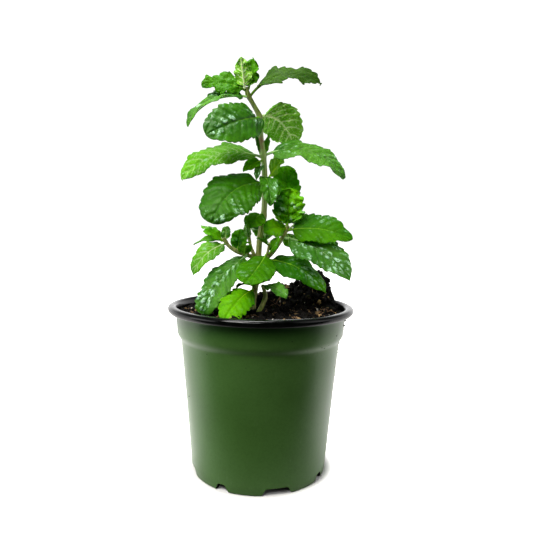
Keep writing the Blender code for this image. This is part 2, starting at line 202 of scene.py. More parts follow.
def stem_at(name, z):
    """Centre, direction and radius of a stem at a height."""
    foot, top, points = STEMS[name]
    line = smooth(points)
    here, above = (np.array([np.interp(q, line[:, 2], line[:, k]) for k in range(3)]) for q in (z, z + 1))
    if z + 1 > line[-1, 2]:
        above = here + line[-1] - line[-2]
    along = (above - here) / np.linalg.norm(above - here)
    return here, along, float(np.interp(z, line[[0, -1], 2], [foot, top]))


def heading(azimuth, rise):
    """Unit direction from two angles in degrees."""
    a, e = math.radians(azimuth), math.radians(rise)
    return np.array([math.cos(e) * math.cos(a), math.cos(e) * math.sin(a), math.sin(e)])


def leaf_base(leaf):
    """Where a stalk ends, just clear of its stem."""
    centre, along, radius = stem_at(leaf.stem, leaf.z)
    out = heading(leaf.azimuth, 0)
    out = out - along * (out @ along)
    out /= np.linalg.norm(out)
    lean = abs(heading(leaf.azimuth, leaf.rise) @ along)
    return centre + out * (radius + SEAT + 0.3 * lean)


DARK, MID, FRESH, LIME = "leaf_dark", "leaf_mid", "leaf_fresh", "leaf_lime"
GREY, OLIVE, CRISP = "leaf_grey", "leaf_olive", "leaf_crisp"
# Finishes: deep, light, underside and vein colours, share of silver on the crests (partly bloom, partly
# painted highlight), roughness
FINISHES = {
    DARK: ((14, 72, 0), (62, 128, 0), (92, 152, 24), (104, 168, 30), 0.8, 0.40),
    MID: ((34, 98, 0), (78, 144, 0), (106, 170, 28), (130, 188, 44), 0.35, 0.46),
    FRESH: ((44, 112, 0), (96, 166, 4), (138, 200, 62), (214, 242, 166), 0.4, 0.46),
    LIME: ((60, 134, 0), (104, 176, 0), (118, 180, 10), (146, 202, 30), 0.08, 0.46),
    GREY: ((30, 92, 6), (86, 148, 36), (112, 168, 70), (172, 216, 134), 0.85, 0.44),
    OLIVE: ((22, 58, 0), (60, 100, 0), (70, 110, 6), (82, 122, 12), 0.12, 0.6),
    CRISP: ((40, 124, 0), (130, 212, 6), (124, 196, 36), (164, 226, 60), 0.9, 0.34),
}
# Looks: finish, edge waves, crinkle, teeth, tip sharpness
LOOKS = {
    "leaf_tip_left": (MID, 1.2, 1.9, 2.2, 0.7),
    "leaf_tip_right": (MID, 2.6, 1.8, 2.4, 0.75),
    "leaf_tip_young": (FRESH, 2.4, 1.6, 2.6, 0.75),
    "leaf_a_left": (GREY, 1.0, 1.6, 1.6, 0.75),
    "leaf_a_right": (OLIVE, 1.0, 1.0, 2.6, 0.6),
    "leaf_b_left": (DARK, 0.6, 0.95, 0.9, 0.5),
    "leaf_b_right": (FRESH, 0.8, 1.1, 1.0, 0.5),
    "leaf_c_left": (FRESH, 0.8, 1.0, 1.0, 0.5),
    "leaf_c_right": (GREY, 1.0, 1.3, 1.2, 0.6),
    "leaf_axil_left": (MID, 1.0, 0.8, 1.0, 0.8),
    "leaf_axil_right": (MID, 1.0, 0.8, 1.0, 0.8),
    "leaf_small_pale": (LIME, 1.0, 0.7, 1.0, 0.8),
    "leaf_folded": (GREY, 1.0, 1.0, 1.0, 0.8),
    "leaf_d": (LIME, 0.8, 0.7, 1.4, 0.6),
    "leaf_e": (DARK, 0.7, 1.5, 0.8, 0.5),
    "leaf_f": (DARK, 1.0, 1.8, 1.2, 0.6),
    "leaf_small_oval": (DARK, 0.6, 0.7, 0.7, 0.6),
    "leaf_g_tall": (LIME, 1.2, 1.0, 0.9, 0.45),
    "leaf_g_crinkled": (CRISP, 1.6, 2.6, 2.6, 0.5),
    "leaf_g_young": (LIME, 1.0, 0.8, 1.0, 0.7),
    "leaf_g_left": (LIME, 0.8, 0.9, 0.8, 0.6),
    "leaf_g_back": (FRESH, 1.0, 1.0, 1.2, 0.6),
    "leaf_h_upper": (MID, 0.8, 0.45, 1.2, 0.7),
    "leaf_h_lower": (GREY, 0.7, 0.5, 0.9, 0.7),
    "leaf_i": (MID, 0.7, 0.5, 0.5, 0.8),
    "leaf_j": (MID, 0.6, 0.9, 0.5, 0.5),
    "leaf_k": (GREY, 0.8, 2.1, 0.9, 0.4),
    "leaf_l": (LIME, 0.7, 0.8, 1.8, 0.5),
    "leaf_m": (DARK, 1.0, 1.0, 1.0, 0.7),
    "leaf_n": (GREY, 1.6, 1.6, 1.2, 0.6),
    "leaf_o_front": (FRESH, 0.8, 0.8, 0.9, 0.8),
    "leaf_o_back": (MID, 0.8, 0.9, 1.2, 0.7),
    "leaf_o_bright": (LIME, 1.0, 0.8, 1.3, 0.7),
    "leaf_o_under": (FRESH, 1.6, 1.8, 1.2, 0.5),
    "leaf_o_silver": (CRISP, 1.2, 1.6, 0.9, 0.6),
    "leaf_o_strip": (LIME, 1.0, 0.8, 0.8, 0.8),
    "leaf_o_dark": (MID, 0.8, 1.0, 0.9, 0.7),
    "leaf_o_curl": (GREY, 1.2, 1.2, 0.9, 0.8),
    "leaf_p": (MID, 0.8, 0.9, 0.9, 0.5),
    "leaf_p_small": (DARK, 0.8, 0.8, 0.8, 0.6),
    "leaf_q": (MID, 0.8, 0.8, 0.8, 0.6),
    "leaf_rear_high": (MID, 0.9, 1.1, 1.0, 0.6),
    "leaf_rear_mid": (DARK, 0.9, 1.1, 1.0, 0.6),
    "leaf_rear_right": (MID, 0.9, 1.0, 1.0, 0.6),
    "leaf_rear_low": (MID, 0.9, 1.0, 1.0, 0.65),
    "leaf_rear_left": (DARK, 0.9, 1.1, 1.0, 0.6),
    "leaf_rear_branch": (FRESH, 0.9, 1.0, 1.0, 0.7),
}

CRUMBS = 3200
FIBRES = 110
PERLITE = 26  # besides the placed grains
# Placed grains of perlite: x, y, size
GRAINS = [(40, -16, 1.5), (-49, -4, 1.2), (26, 27, 1.1), (36, 6, 0.8), (30, -30, 0.9)]
GRAINS += [(-44, 12, 0.8), (8, -44, 0.6)]
# Crumbs stuck to the pot's outside: angle, height, size
SPECKS = [(-14, 95, 0.55), (-8, 91, 0.7), (-19, 93, 0.4), (-5, 88, 0.6), (-11, 85, 0.55), (-16, 83.5, 0.4)]
SPECKS += [(-7, 80, 0.6), (-12, 77, 0.4), (-4, 73, 0.5), (-48, 84.2, 0.35), (-45, 83.4, 0.4), (-41, 84.6, 0.3)]
SPECKS += [(-60, 83.8, 0.25), (-128, 80, 0.25), (-22, 68, 0.3), (-9, 60, 0.3), (-72, 90, 0.2), (-33, 89, 0.3)]
SPECKS += [(-100, 75, 0.2), (-155, 50, 0.3)]

# Leaf relief
TOOTH_SPACING = 4.3
TOOTH_RISE = 0.72  # share of a tooth that climbs toward the tip
VEIN_SPACING = 6.4
CELL_SPACING = 4.2  # between the small veins that cross the side veins
FULL_WIDTH = 22.0  # a blade this wide has its full relief
BIG_LEAF = 17.0  # longer blades get the finer grid
UPPER_SKIN = 0.13  # from a blade's middle surface to its upper face
SPINE_STEPS = 400
ROOT = 0.9  # how far a stalk runs into its stem
ROD_END = 0.93  # share of the blade that the midrib reaches


def linear(r, g, b):
    """A display colour, 0 to 255, as scene light."""
    return tuple((c / 255 / 12.92) if c <= 10 else ((c / 255 + 0.055) / 1.055) ** 2.4 for c in (r, g, b))


# ---------------------------------------------------------------- node helpers


class Tree:
    """Short names for building a node tree."""

    def __init__(self, name):
        self.material = bpy.data.materials.new(name)
        self.material.use_nodes = True
        self.nodes = self.material.node_tree.nodes
        self.links = self.material.node_tree.links
        self.shader = self.nodes["Principled BSDF"]
        self.object = self.nodes.new("ShaderNodeTexCoord").outputs["Object"]

    def put(self, socket, value):
        if isinstance(value, bpy.types.NodeSocket):
            self.links.new(value, socket)
        elif isinstance(value, tuple) and len(value) == 3 and socket.type == "RGBA":
            socket.default_value = (*value, 1)
        else:
            socket.default_value = value

    def math(self, operation, a, b=0.0, clamp=False):
        node = self.nodes.new("ShaderNodeMath")
        node.operation = operation
        node.use_clamp = clamp
        self.put(node.inputs[0], a)
        self.put(node.inputs[1], b)
        return node.outputs[0]

    def noise(self, scale, detail=3.0, rough=0.55, vector=None):
        node = self.nodes.new("ShaderNodeTexNoise")
        self.put(node.inputs["Vector"], vector or self.object)
        node.inputs["Scale"].default_value = scale
        node.inputs["Detail"].default_value = detail
        node.inputs["Roughness"].default_value = rough
        return node.outputs["Fac"]

    def cells(self, scale, feature="F1"):
        node = self.nodes.new("ShaderNodeTexVoronoi")
        node.feature = feature
        self.put(node.inputs["Vector"], self.object)
        node.inputs["Scale"].default_value = scale
        return node.outputs["Distance"]

    def stretch(self, scale):
        node = self.nodes.new("ShaderNodeMapping")
        self.put(node.inputs["Vector"], self.object)
        node.inputs["Scale"].default_value = scale
        return node.outputs["Vector"]

    def remap(self, value, low, high, to_low=0.0, to_high=1.0):
        node = self.nodes.new("ShaderNodeMapRange")
        node.interpolation_type = "SMOOTHSTEP"
        self.put(node.inputs["Value"], value)
        for key, number in (("From Min", low), ("From Max", high), ("To Min", to_low), ("To Max", to_high)):
            node.inputs[key].default_value = number
        return node.outputs["Result"]

    def mix(self, share, a, b):
        node = self.nodes.new("ShaderNodeMix")
        node.data_type = "RGBA"
        self.put(node.inputs["Factor"], share)
        self.put(node.inputs[6], a)
        self.put(node.inputs[7], b)
        return node.outputs[2]

    def attribute(self, name):
        node = self.nodes.new("ShaderNodeAttribute")
        node.attribute_name = name
        return node.outputs["Fac"]

    def bump(self, height, strength, distance, before=None):
        node = self.nodes.new("ShaderNodeBump")
        node.inputs["Strength"].default_value = strength
        node.inputs["Distance"].default_value = distance
        self.put(node.inputs["Height"], height)
        if before:
            self.put(node.inputs["Normal"], before)
        return node.outputs["Normal"]

    def axis(self, name):
        """One coordinate of the point, in metres."""
        node = self.nodes.new("ShaderNodeSeparateXYZ")
        self.put(node.inputs[0], self.object)
        return node.outputs[name]

    def finish(self, colour, roughness, normal=None, **settings):
        """Join the results to the shader; a setting's underscores stand for spaces."""
        self.put(self.shader.inputs["Base Color"], colour)
        self.put(self.shader.inputs["Roughness"], roughness)
        if normal:
            self.put(self.shader.inputs["Normal"], normal)
        for key, value in settings.items():
            self.put(self.shader.inputs[key.replace("_", " ")], value)
        return self.material


def glow_through(radius):
    """Light that enters thin green tissue and comes out again, up to about 1 mm away."""
    return {"Subsurface_Weight": 0.15, "Subsurface_Radius": radius, "Subsurface_Scale": MM}


def leaf_material(name):
    """A mint leaf: toned upper face with painted shade along its sunken veins and between its pillows, silvery
    crests that are partly bloom and partly painted highlight, paler underside with light veins.
    """
    deep, light, under, vein = (linear(*colour) for colour in FINISHES[name][:4])
    silver, gloss = FINISHES[name][4:]
    t = Tree(name)
    side, veins, crest, shade = (t.attribute(key) for key in ("side", "vein", "crest", "shade"))
    patch = t.math("ADD", t.remap(t.noise(60, 3), 0.3, 0.7, -0.25, 0.25), shade, True)
    top = t.mix(patch, deep, light)
    # Painted shade: the upper face darkens toward the deep colour along the sunken veins.
    top = t.mix(t.math("MULTIPLY", t.remap(veins, 0.12, 0.5), 0.5), top, deep)
    narrow = 1.3 if name == FRESH else 2.6  # fresh leaves show broad pale veins
    top = t.mix(t.math("MULTIPLY", t.math("POWER", veins, narrow), 0.85), top, vein)
    # Silvery crests: partly the leaf's hairy bloom, partly a painted highlight standing for lamp glints on the
    # crests.
    bloom_glint_grain = t.remap(t.noise(520, 4, 0.7), 0.42, 0.56)
    bloom_glint_patches = t.math("MULTIPLY", t.remap(t.noise(110, 3, 0.6), 0.42, 0.56), bloom_glint_grain)
    bloom_and_glint = t.math("MULTIPLY", t.remap(crest, 0.38, 0.74), bloom_glint_patches)
    top = t.mix(t.math("MULTIPLY", bloom_and_glint, silver), top, linear(200, 246, 206))
    low = t.mix(t.math("MULTIPLY", shade, 0.4), under, light)
    low = t.mix(t.remap(veins, 0.08, 0.55), low, vein)
    colour = t.mix(side, low, top)
    colour = t.mix(t.remap(t.noise(600, 3, 0.6), 0.4, 0.75, 0.0, 0.22), colour, deep)
    rough = t.remap(t.noise(260, 3), 0.3, 0.7, gloss - 0.05, gloss + 0.12)
    normal = t.bump(t.noise(520, 4, 0.65), 0.55, 0.0005)
    normal = t.bump(t.cells(1300, "SMOOTH_F1"), 0.3, 0.00012, normal)
    normal = t.bump(t.noise(3000, 3, 0.6), 0.25, 0.00006, normal)
    sheen = {"Specular_IOR_Level": 0.24 if gloss < 0.45 else 0.10, "Specular_Tint": (0.75, 1.0, 0.60)}
    return t.finish(colour, rough, normal, **glow_through((0.6, 1.0, 0.1)), **sheen)


def stem_material():
    """Olive-tan and ribbed low down, pale green with a pink flush half way, dark olive at the top."""
    t = Tree("stem_skin")
    z = t.axis("Z")
    long_grain = t.noise(1.0, 4, 0.6, t.stretch((900, 900, 60)))
    low = t.mix(t.remap(long_grain, 0.38, 0.62), linear(120, 132, 48), linear(188, 190, 112))
    low = t.mix(t.remap(t.noise(70, 3), 0.5, 0.7), low, linear(148, 176, 78))
    middle = t.mix(t.remap(t.noise(90, 3), 0.5, 0.66), linear(160, 192, 96), linear(158, 132, 84))
    middle = t.mix(t.remap(long_grain, 0.5, 0.75), middle, linear(206, 224, 156))
    top = t.mix(t.remap(long_grain, 0.4, 0.65), linear(70, 88, 12), linear(108, 128, 36))
    colour = t.mix(t.remap(z, 0.150, 0.176), low, middle)
    colour = t.mix(t.remap(z, 0.206, 0.220), colour, top)
    normal = t.bump(long_grain, 0.5, 0.0003)
    normal = t.bump(t.noise(2500, 3), 0.3, 0.0001, normal)
    rough = t.remap(long_grain, 0.3, 0.7, 0.42, 0.6)
    return t.finish(colour, rough, normal, **glow_through((0.8, 1.0, 0.4)))


def soil_material(name, dark, brown, tan, share):
    """Moist peat; the share of pieces with the highest tone turns tan."""
    t = Tree(name)
    blend = t.noise(500, 5, 0.7)
    colour = t.mix(t.remap(blend, 0.35, 0.7), dark, brown)
    pale = t.math("MULTIPLY", t.remap(t.attribute("shade"), 1 - share, 1.0), t.remap(blend, 0.3, 0.6))
    colour = t.mix(pale, colour, tan)
    normal = t.bump(t.noise(1100, 5, 0.75), 0.9, 0.0005)
    normal = t.bump(t.cells(2400), 0.5, 0.0002, normal)
    rough = t.remap(t.noise(800, 3), 0.3, 0.7, 0.62, 0.95)
    return t.finish(colour, rough, normal, Specular_IOR_Level=0.12)


def plain_grain(name, colour_a, colour_b, rough, scale):
    """Two colours in a fine grain."""
    t = Tree(name)
    grain = t.noise(scale, 4, 0.65)
    colour = t.mix(t.remap(grain, 0.35, 0.65), colour_a, colour_b)
    normal = t.bump(grain, 0.6, 0.0003)
    return t.finish(colour, t.remap(grain, 0.3, 0.7, rough - 0.08, rough + 0.08), normal)


def pot_green_material():
    """Satin plastic sheet with faint mottling, dust and fine scuffs, with painted shade under the lip."""
    t = Tree("pot_green")
    z = t.axis("Z")
    cloud = t.noise(28, 2, 0.5)
    dust = t.remap(t.noise(900, 4, 0.7), 0.60, 0.80)
    scuff = t.remap(t.noise(1.0, 4, 0.7, t.stretch((500, 500, 60))), 0.62, 0.78)
    colour = t.mix(t.remap(cloud, 0.25, 0.75), linear(52, 84, 32), linear(60, 94, 40))
    colour = t.mix(t.remap(t.noise(2600, 4, 0.8), 0.3, 0.7, 0.0, 0.2), colour, linear(82, 118, 64))
    colour = t.mix(t.remap(t.noise(700, 3, 0.6), 0.4, 0.7, 0.0, 0.16), colour, linear(34, 64, 14))
    # Painted shade: the collar darkens toward deep green just below the lip, where the lip shades it.
    colour = t.mix(t.math("MULTIPLY", t.remap(z, 0.086, 0.098), 0.75), colour, linear(0, 46, 0))
    colour = t.mix(t.math("MULTIPLY", dust, 0.10), colour, linear(86, 86, 62))
    colour = t.mix(t.math("MULTIPLY", scuff, 0.06), colour, linear(150, 165, 145))
    rough = t.math("ADD", t.remap(cloud, 0.3, 0.7, 0.28, 0.32), t.math("MULTIPLY", dust, 0.15))
    normal = t.bump(t.noise(1500, 3, 0.6), 0.10, 0.0001)
    return t.finish(colour, rough, normal, Specular_IOR_Level=0.36, Specular_Tint=(0.75, 1.0, 0.68))


def pot_black_material():
    """Smoother black plastic with faint streaks and dust."""
    t = Tree("pot_black")
    streak = t.noise(1.0, 4, 0.6, t.stretch((180, 180, 40)))
    dust = t.remap(t.noise(700, 5, 0.75), 0.60, 0.80)
    colour = t.mix(t.remap(streak, 0.3, 0.7), linear(1, 2, 1), linear(5, 7, 6))
    colour = t.mix(t.math("MULTIPLY", dust, 0.10), colour, linear(96, 92, 80))
    rough = t.math("ADD", t.remap(streak, 0.3, 0.7, 0.12, 0.2), t.math("MULTIPLY", dust, 0.2))
    normal = t.bump(t.noise(350, 4, 0.6), 0.12, 0.0003)
    return t.finish(colour, rough, normal, Specular_IOR_Level=0.25)


# ---------------------------------------------------------------- mesh helpers


def mesh_object(name, points, faces, materials, node=None, values=None, face_slots=None):
    """A mesh in millimetres that rides on the root and may stand for a CAD node."""
    mesh = bpy.data.meshes.new(name)
    mesh.from_pydata((np.asarray(points, float) * MM).tolist(), [], [list(map(int, f)) for f in faces])
    for material in materials:
        mesh.materials.append(material)
    for key, numbers in (values or {}).items():
        layer = mesh.attributes.new(key, "FLOAT", "POINT")
        layer.data.foreach_set("value", np.asarray(numbers, np.float32))
    if face_slots is not None:
        mesh.polygons.foreach_set("material_index", np.asarray(face_slots, np.int32))
    mesh.polygons.foreach_set("use_smooth", np.full(len(mesh.polygons), True))
    mesh.update()
    obj = bpy.data.objects.new(name, mesh)
    bpy.context.scene.collection.objects.link(obj)
    if node:
        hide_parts(node)
    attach(obj, "root")
    return obj


def grid_faces(rows, columns, start=0, close=False, flip=False):
    """Quads of a rows by columns grid of points; close joins the last column to the first."""
    faces = []
    for i in range(rows - 1):
        for j in range(columns if close else columns - 1):
            a = start + i * columns + j
            b = start + i * columns + (j + 1) % columns
            quad = (a, b, b + columns, a + columns)
            faces.append(quad[::-1] if flip else quad)
    return faces


def tube(path, radii, sides, profile, start=0):
    """A closed tube along a path; profile(angle) scales the radius round it."""
    path = np.asarray(path, float)
    ahead = np.gradient(path, axis=0)
    ahead /= np.linalg.norm(ahead, axis=1, keepdims=True)
    hint = np.array([0.13, 0.99, 0.05]) if abs(ahead[:, 1]).mean() < 0.7 else np.array([0.99, 0.1, 0.05])
    one = np.cross(ahead, hint)
    one /= np.linalg.norm(one, axis=1, keepdims=True)
    two = np.cross(ahead, one)
    angles = np.linspace(0, math.tau, sides, endpoint=False)
    ring = np.cos(angles)[None, :, None] * one[:, None, :] + np.sin(angles)[None, :, None] * two[:, None, :]
    points = path[:, None, :] + ring * (np.asarray(radii)[:, None] * profile(angles)[None, :])[:, :, None]
    rows = len(path)
    faces = grid_faces(rows, sides, start, close=True)
    points = np.vstack([points.reshape(-1, 3), path[:1], path[-1:]])
    first, last = start + rows * sides, start + rows * sides + 1
    end = start + (rows - 1) * sides
    faces += [(first, start + (j + 1) % sides, start + j) for j in range(sides)]
    faces += [(last, end + j, end + (j + 1) % sides) for j in range(sides)]
    return points, faces


def ripple(x, y, rng, scale, terms=6):
    """Smooth irregular waves from -1 to 1."""
    out = np.zeros(np.broadcast(x, y).shape)
    for _ in range(terms):
        turn, phase, k = rng.uniform(0, math.tau), rng.uniform(0, math.tau), scale * rng.uniform(0.6, 1.6)
        out = out + np.sin(k * (x * math.cos(turn) + y * math.sin(turn)) + phase)
    return out / terms * 1.6


# ---------------------------------------------------------------- leaves


def spine(leaf, s):
    """Point, forward, side and up directions at each distance along a stalk and blade."""

    def forward(share):
        return heading(leaf.azimuth + leaf.sway * share, leaf.rise - leaf.droop * share)

    total = leaf.stalk + leaf.length
    fine = np.linspace(0, total, SPINE_STEPS + 1)
    middle = (fine[1:] + fine[:-1]) / 2 / total
    steps = np.array([forward(m) for m in middle]) * (total / SPINE_STEPS)
    path = np.vstack([[0, 0, 0], np.cumsum(steps, axis=0)]) + leaf_base(leaf)
    centre = np.stack([np.interp(s, fine, path[:, k]) for k in range(3)], -1)
    m = np.clip(np.asarray(s) / total, 0, 1)
    ahead = np.array([forward(q) for q in m])
    side = np.array([heading(leaf.azimuth + leaf.sway * q + 90, 0) for q in m])
    up = np.cross(ahead, side)
    g = np.radians(leaf.roll * np.minimum(1, 10 * m) + leaf.twist * m)[:, None]
    return centre, ahead, side * np.cos(g) + up * np.sin(g), up * np.cos(g) - side * np.sin(g)


def blade_grid(rows, columns):
    """Shares along and across a blade, closer together at its two ends and at the midrib."""
    x = np.linspace(0, 1, rows)
    v = np.linspace(-1, 1, columns)
    along = 0.75 * x + 0.25 * (1 - np.cos(math.pi * x)) / 2
    across = np.sign(v) * (0.85 * np.abs(v) + 0.15 * np.abs(v) ** 2)
    return np.meshgrid(along, across, indexing="ij")


def half_width(t, width, sharp):
    """Half a blade's width along its length."""
    a, b = 0.42, sharp
    peak = (a / (a + b)) ** a * (b / (a + b)) ** b
    half = width / 2 * t**a * (1 - t) ** b / peak
    return np.maximum(half, np.interp(t, [0, 0.05, 0.97, 1], [0.6, 0.6, 0.35, 0.12]))


def edge(T, V, length, teeth, index, rng):
    """How far teeth and lobes push the edge out, as a share of the half width, and each tooth's own shape."""
    A = np.abs(V)
    count = max(4, round(length / TOOTH_SPACING))
    shift = rng.uniform(0, 1, 2)
    place = T * count + np.where(V > 0, shift[0], shift[1])
    f = (place + 0.10 * np.sin(9 * T + index)) % 1
    sizes = rng.uniform(0.45, 1.5, (2, count + 3))
    which = np.clip(place.astype(int), 0, count + 2)
    jag = np.where(V > 0, sizes[0][which], sizes[1][which])
    climb, fall = f / TOOTH_RISE, (f - TOOTH_RISE) / (1 - TOOTH_RISE)
    tooth = np.where(f < TOOTH_RISE, np.sin(climb * math.pi / 2), np.cos(fall * math.pi / 2))
    fade = np.clip((T - 0.06) / 0.12, 0, 1) * np.clip((1 - T) / 0.05, 0.25, 1)
    bite = 0.085 * teeth * fade * jag * (tooth - 0.55) * A**7
    lobe = 0.035 * fade * ripple(T * 9, np.sign(V) * 3, rng, 1.0, 3) * A**3
    return bite + lobe, tooth


def net(T, V, leaf, rng):
    """How far each point is from the side veins and from the small ones: 0 on a vein, 1 between two."""
    A = np.abs(V)
    bend = 0.10 * ripple(T * 5, V * 2.5, rng, 1.0)
    pairs = max(3, round(leaf.length / VEIN_SPACING))
    u = (T - 0.34 * A**1.2 * (1 - 0.5 * T) + 0.012 * bend) * (pairs + 1.2)
    cells = max(3.0, leaf.width / CELL_SPACING)
    turn = A * cells + 0.35 * np.sin(math.tau * u + V) + 0.9 * bend + 0.25 * np.floor(u)
    return np.abs(np.sin(math.pi * u)), np.abs(np.sin(math.pi * turn))


def waves_of(T, V, width, waves, rng):
    """Two runs of waves along each edge, out of step between left and right."""
    A = np.abs(V)
    wave = 0.055 * width * waves * A**2 * np.sin(math.tau * (2.2 * T + rng.uniform()) + 1.9 * (V > 0))
    fine = 0.02 * width * waves * A**3 * np.sin(math.tau * (5.1 * T + rng.uniform()) + 2.4 * (V > 0))
    return wave + fine


def skins(top, low, rows, columns):
    """Two grids of points joined round their rim into one closed blade."""
    n = rows * columns
    faces = grid_faces(rows, columns) + grid_faces(rows, columns, n, flip=True)
    rim = [i * columns for i in range(rows)] + [(rows - 1) * columns + j for j in range(1, columns)]
    rim += [i * columns + columns - 1 for i in range(rows - 2, -1, -1)] + list(range(columns - 2, 0, -1))
    faces += [(a, b, n + b, n + a) for a, b in zip(rim, rim[1:] + rim[:1])]
    return np.vstack([top.reshape(-1, 3), low.reshape(-1, 3)]), faces


def midrib(leaf, size, start):
    """The stalk, and the rib that it becomes under the blade."""
    blade = leaf.stalk + leaf.length * np.linspace(0, ROD_END, 30)
    s = np.concatenate([np.linspace(-ROOT, leaf.stalk, 9)[:-1], blade])
    line, forward, _, above = spine(leaf, np.maximum(s, 0))
    line = line + forward * np.minimum(s, 0)[:, None]
    share = np.clip((s - leaf.stalk) / leaf.length, 0, 1)
    slim = 0.6 + 0.4 * size
    radii = np.interp(share, [0, 0.1, 0.5, ROD_END], [0.72, 0.6, 0.38, 0.14]) * slim
    drop = np.interp(share, [0, 0.12, 1], [0.0, 0.45, 0.28]) * slim
    return tube(line - above * drop[:, None], radii, 10, lambda q: 1 + 0.12 * np.cos(2 * q), start)


def leaf_piece(name, leaf, look, materials, index):
    """A toothed, crinkled mint leaf with a stalk that runs on as the midrib."""
    finish, waves, crinkle, teeth, sharp = look
    rng = np.random.default_rng(100 + index)
    fine_grid, coarse_grid = (((84, 33), (52, 23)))
    rows, columns = fine_grid if leaf.length > BIG_LEAF else coarse_grid
    T, V = blade_grid(rows, columns)
    A = np.abs(V)
    centre, ahead, side, up = (each[:, None, :] for each in spine(leaf, leaf.stalk + leaf.length * T[:, 0]))
    half = half_width(T[:, :1], leaf.width, sharp)
    size = min(1.0, leaf.width / FULL_WIDTH)

    jut, tooth = edge(T, V, leaf.length, teeth, index, rng)
    between, cross = net(T, V, leaf, rng)
    pillow = between**0.5 * (0.34 + 0.66 * cross**0.5)
    inner = np.clip(half * A / 1.1, 0, 1)
    soft = inner * (1 - 0.5 * A**4) * np.clip(T / 0.06, 0, 1) * np.clip((1 - T) / 0.06, 0, 1)
    plump = (0.5 + 1.15 * crinkle) * size
    patchy = np.clip(0.62 + 0.55 * ripple(T * 3.2, V * 1.7, rng, 1.0), 0.15, 1.25)
    puff = plump * pillow * soft * patchy * (0.75 + 0.45 * ripple(T * 14, V * 7, rng, 1.0))
    puff = puff + 0.30 * crinkle * size * ripple(T * leaf.length * 1.1, V * leaf.width * 0.55, rng, 1.0) * soft
    wave = waves_of(T, V, leaf.width, waves, rng)
    groove = -0.22 * size * np.exp(-((half * V / 0.55) ** 2)) * np.clip((0.92 - T) / 0.3, 0, 1)

    bent = np.radians(leaf.fold) * np.minimum(1, 3 * T)
    across = half * (V + np.sign(V) * jut)
    lift = np.abs(across) * np.sin(bent) + leaf.cup * V**2 * half + puff + wave + groove
    reach = 0.05 * half * A**6 * teeth * (tooth - 0.5)
    points = centre + side * (across * np.cos(bent))[:, :, None] + up * lift[:, :, None]
    points = points + ahead * reach[:, :, None]

    normal = np.cross(np.gradient(points, axis=0), np.gradient(points, axis=1))
    normal /= np.maximum(np.linalg.norm(normal, axis=2, keepdims=True), 1e-9)
    normal *= np.sign((normal * up).sum(2, keepdims=True))
    rib = np.exp(-((half * V / 0.45) ** 2)) * (1 - T) ** 0.5
    lateral = np.exp(-((between / 0.28) ** 2)) * np.clip(1.25 - A, 0, 1) * np.clip(A * half / 0.4, 0, 1)
    small = 0.55 * np.exp(-((cross / 0.22) ** 2))
    veins = np.maximum(np.maximum(rib, 0.75 * lateral), small) * np.clip(half / 1.5, 0, 1)
    veins = np.clip(veins, 0, 1).ravel()
    thick = 0.16 + 0.10 * lateral * size + 0.06 * (1 - A)
    blade, faces = skins(points + normal * UPPER_SKIN, points - normal * thick[:, :, None], rows, columns)
    crest = np.clip(puff / max(0.2, plump) * 1.05, 0, 1).ravel()
    # Painted shade: the pillow term makes the tone lighter on the pillow tops and darker in the grooves
    # between them; the ripple is random tone.
    tone = 0.5 + 0.45 * ripple(T * 4, V * 2, rng, 1.0) + 0.25 * (pillow * soft - 0.4)
    shade = np.clip(tone, 0, 1).ravel()

    rod, rod_faces = midrib(leaf, size, len(blade))
    n, m = rows * columns, len(rod)
    values = {
        "side": np.concatenate([np.ones(n), np.zeros(n), np.full(m, 0.35)]),
        "vein": np.concatenate([veins, veins, np.ones(m)]),
        "crest": np.concatenate([crest, crest * 0.3, np.zeros(m)]),
        "shade": np.concatenate([shade, shade, np.full(m, 0.6)]),
    }
    points, faces = np.vstack([blade, rod]), faces + rod_faces
    piece = "blade_" + name.removeprefix("leaf_")
    return mesh_object(piece, points, faces, [materials[finish]], name, values)


# ---------------------------------------------------------------- stems


def stem_piece(name, material):
    """A squarish ribbed stem that swells where leaves leave it."""
    foot, top, points = STEMS[name]
    start = list(points)
    if points[0][2] > SHOOT_FOOT:
        first, second = np.array(points[0], float), np.array(points[1], float)
        start = [tuple(first - (second - first) / np.linalg.norm(second - first) * SHOOT_ROOT)] + start
    line = smooth(start, 14)
    radii = foot + (top - foot) * np.linspace(0, 1, len(line))
    for knot in JOINTS.get(name, ()):
        radii = radii * (1 + 0.22 * np.exp(-(((line[:, 2] - knot) / 1.8) ** 2)))
    rng = np.random.default_rng(len(name))
    radii = radii * (1 + 0.03 * ripple(line[:, 2], 0 * line[:, 2], rng, 0.35))
    radii[-1] *= 0.6
    line = line + 0.12 * np.stack([ripple(line[:, 2], k + 0 * line[:, 2], rng, 0.25) for k in range(3)], -1)

    def ribs(q):
        return 1 + 0.09 * np.cos(4 * q) + 0.025 * np.cos(12 * q + 1) + 0.012 * np.cos(21 * q)

    points, faces = tube(line, radii, 36, ribs)
    return mesh_object("rod_" + name, points, faces, [material], name)


# ---------------------------------------------------------------- soil


def soil_top(x, y):
    """Height of the soil's surface."""
    z = SOIL_Z + 0.5 * math.sin(0.31 * x + 1) * math.cos(0.27 * y) + 0.35 * math.sin(0.73 * x - 0.61 * y)
    for cx, cy, high, sx, sy in MOUNDS:
        z += high * math.exp(-(((x - cx) / sx) ** 2) - ((y - cy) / sy) ** 2)
    return z


def soil_height(x, y):
    """The surface with its lumps, which are larger on the mounds."""
    lumps = noise.fractal(Vector((x * 0.16, y * 0.16, 3.1)), 0.7, 2.1, 5)
    clumps = noise.fractal(Vector((x * 0.45, y * 0.45, 7.7)), 0.8, 2.0, 4)
    tall = min(1.0, max(0.0, (soil_top(x, y) - SOIL_Z - 1) / 8))
    return soil_top(x, y) - 0.5 + lumps * (1.0 + 1.5 * tall) + clumps * (0.35 + 0.9 * tall)


